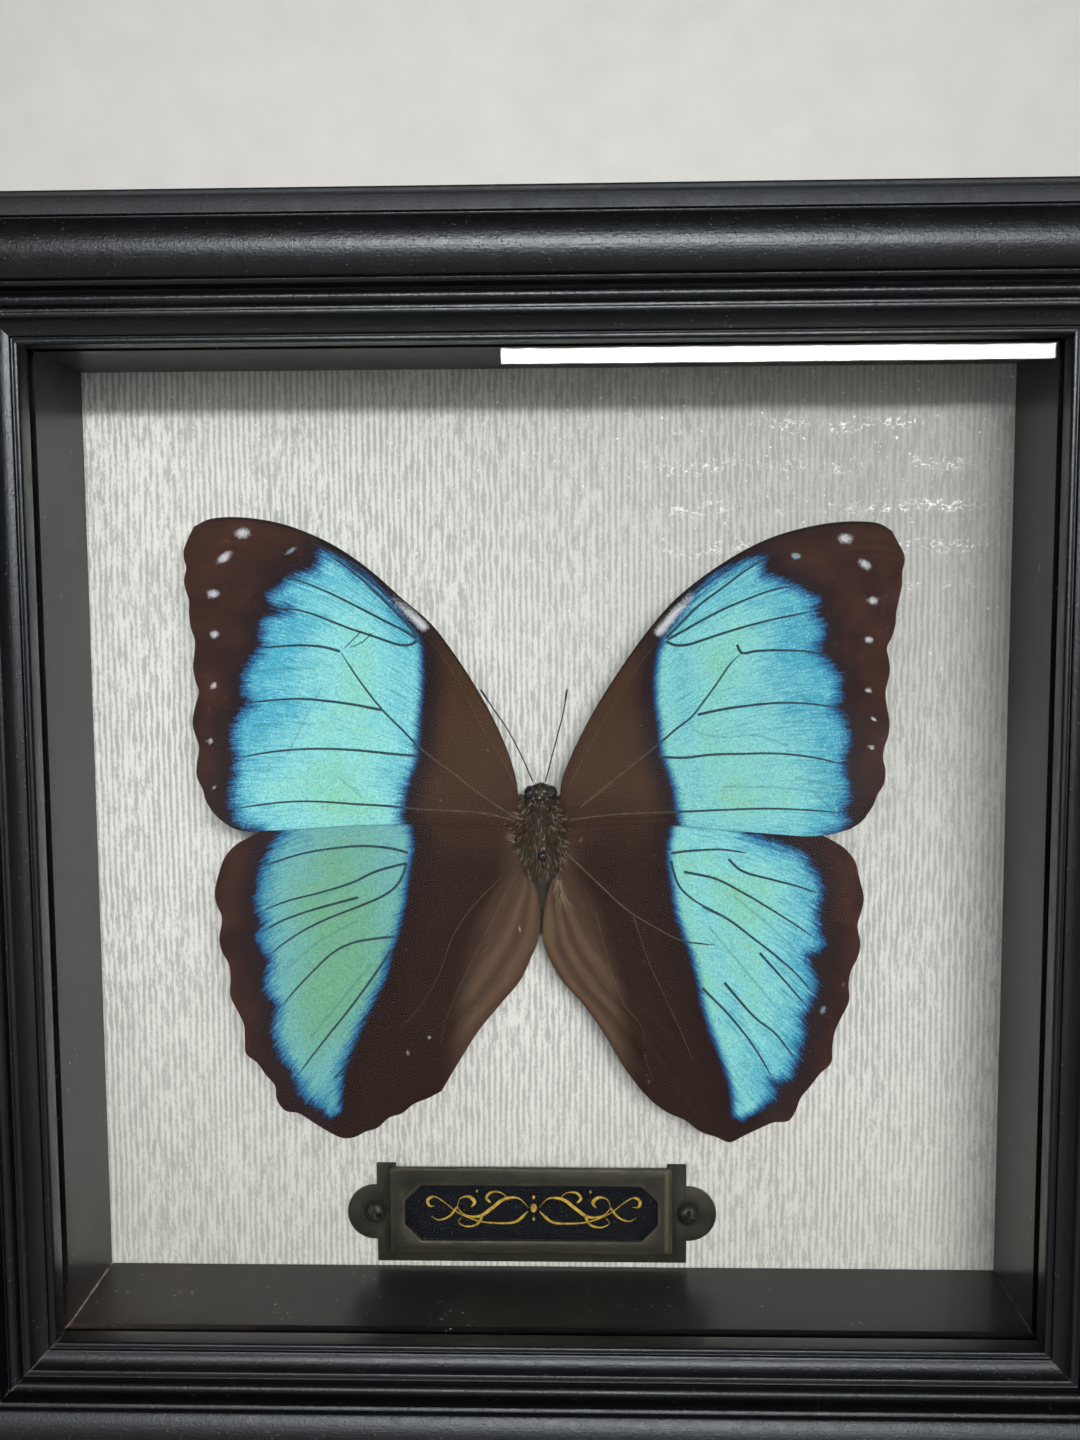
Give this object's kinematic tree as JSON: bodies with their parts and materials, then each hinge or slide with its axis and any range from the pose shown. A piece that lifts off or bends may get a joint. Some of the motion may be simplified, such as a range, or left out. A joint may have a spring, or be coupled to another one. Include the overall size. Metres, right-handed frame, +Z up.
{
  "type": "framed butterfly specimen",
  "caption": "Square glazed shadow-box frame with a black moulded rim, holding a spread blue-banded butterfly pinned over embossed paper above a small brass card holder.",
  "frame": {"origin": "middle of the bottom edge, halfway between the front of the moulding and the back of the hanger nails", "axes": "+Z up the standing frame, -Y out of the glazed face towards the viewer, +X to the viewer's right"},
  "size_m": [0.192, 0.0388, 0.192],
  "materials": {
    "frame_lacquer": "satin black lacquer",
    "box_wall_paint": "matt charcoal paint",
    "glass": "clear",
    "embossed_paper": "fine vertical embossing",
    "fibreboard": "raw hardboard",
    "tab_steel": "plain",
    "hanger_steel": "bright plated",
    "aged_brass": "dark antique",
    "label_card": "matt with a plain gold flourish",
    "wing_scales": "iridescent band between dark brown areas",
    "body_hair": "fine dark hair",
    "chitin": "dry",
    "pin_enamel": "gloss black enamel"
  },
  "bodies": {
    "root": {"frame_rail_top": "frame_lacquer", "frame_rail_right": "frame_lacquer", "frame_rail_bottom": "frame_lacquer", "frame_rail_left": "frame_lacquer", "box_wall_top": "box_wall_paint", "box_wall_right": "box_wall_paint", "box_wall_bottom": "box_wall_paint", "box_wall_left": "box_wall_paint", "glass_pane": "glass", "backing_board": "embossed_paper", "back_panel": "fibreboard", "back_tab_top_a": "tab_steel", "back_tab_top_b": "tab_steel", "back_tab_right_a": "tab_steel", "back_tab_right_b": "tab_steel", "back_tab_bottom_a": "tab_steel", "back_tab_bottom_b": "tab_steel", "back_tab_left_a": "tab_steel", "back_tab_left_b": "tab_steel", "hanger": "hanger_steel", "hanger_nail_left": "hanger_steel", "hanger_nail_right": "hanger_steel", "label_holder": "aged_brass", "label_card": "label_card", "label_screw_left": "aged_brass", "label_screw_right": "aged_brass", "forewing_left": "wing_scales", "forewing_right": "wing_scales", "hindwing_left": "wing_scales", "hindwing_right": "wing_scales", "butterfly_body": "body_hair", "antenna_left": "chitin", "antenna_right": "chitin", "specimen_pin": "pin_enamel"}
  },
  "joints": []
}
